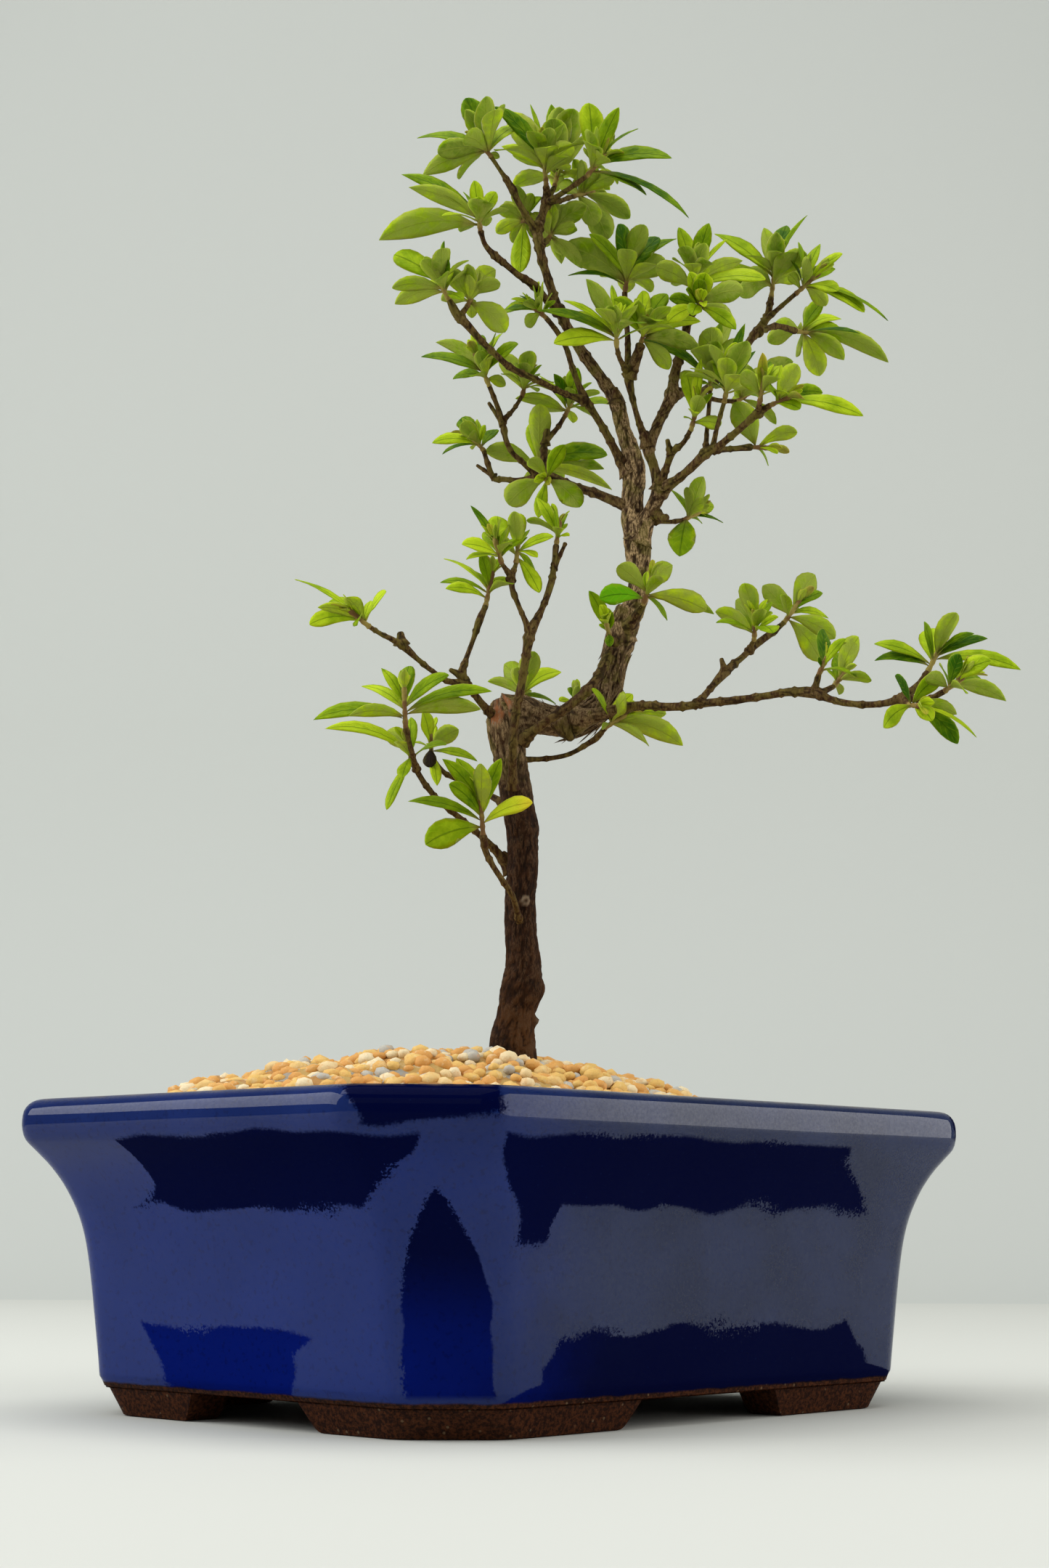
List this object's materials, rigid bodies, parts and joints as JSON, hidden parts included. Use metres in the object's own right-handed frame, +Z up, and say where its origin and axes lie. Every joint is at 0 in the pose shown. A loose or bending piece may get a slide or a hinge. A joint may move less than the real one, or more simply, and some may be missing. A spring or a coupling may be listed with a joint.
{
  "type": "potted azalea bonsai",
  "caption": "Satsuki azalea bonsai with a bent trunk and whorls of small leaves, rooted in gravel in a blue glazed rectangular pot with cut corners, a flared lip and low feet.",
  "frame": {"origin": "middle of the underside of the whole object's box, on the plane that the pot's feet stand on", "axes": "+Z up; X along the pot's long side and Y along its short side; the pictured front is the corner towards -X and -Y"},
  "size_m": [0.265, 0.2436, 0.4213],
  "materials": {
    "glaze": "gloss",
    "screen_plastic": "matte",
    "gravel": "matte",
    "bark": "matte",
    "leaf": "satin"
  },
  "bodies": {
    "root": {"pot": "glaze", "drain_screen_left": "screen_plastic", "drain_screen_right": "screen_plastic", "soil": "gravel", "wood": "bark", "spray_crown_left": "leaf", "spray_crown_mid": "leaf", "spray_crown_mid_back": "leaf", "spray_crown_right": "leaf", "spray_crown_right_low": "leaf", "spray_leader_right_low": "leaf", "spray_leader_left_low": "leaf", "spray_crown_far_left": "leaf", "spray_left_lead": "leaf", "spray_long_left": "leaf", "spray_long_left_inner": "leaf", "spray_low_left": "leaf", "spray_low_left_riser": "leaf", "spray_low_left_fork": "leaf", "spray_low_left_fork_right": "leaf", "spray_low_left_bunch": "leaf", "spray_low_left_hanging": "leaf", "spray_second_stem": "leaf", "spray_second_stem_low": "leaf", "spray_mid_lead": "leaf", "spray_mid_dark": "leaf", "spray_mid_yellow": "leaf", "spray_back_right": "leaf", "spray_back_right_low": "leaf", "spray_far_fork": "leaf", "spray_far_right": "leaf", "spray_small_riser": "leaf", "spray_right_arm": "leaf", "spray_right_arm_upper": "leaf", "spray_right_arm_first": "leaf", "spray_right_arm_second": "leaf", "spray_right_arm_stub": "leaf", "spray_twin_twig": "leaf", "spray_front_stem": "leaf", "spray_front_stem_left": "leaf", "spray_front_stem_right": "leaf", "spray_left_arm": "leaf", "spray_far_left_arm": "leaf", "spray_lower_left": "leaf", "spray_lower_left_top": "leaf", "spray_dry_bud_twig": "leaf", "spray_trunk_twig": "leaf", "spray_behind_elbow": "leaf", "spray_behind_elbow_low": "leaf", "spray_under_twig": "leaf", "spray_mid_trunk_shoot": "leaf", "spray_mid_trunk_left": "leaf", "spray_long_right": "leaf", "spray_long_right_end": "leaf", "spray_long_right_low": "leaf", "spray_right_sub": "leaf", "spray_right_sub_mid": "leaf", "spray_long_right_first": "leaf", "spray_long_right_second": "leaf"}
  },
  "joints": []
}
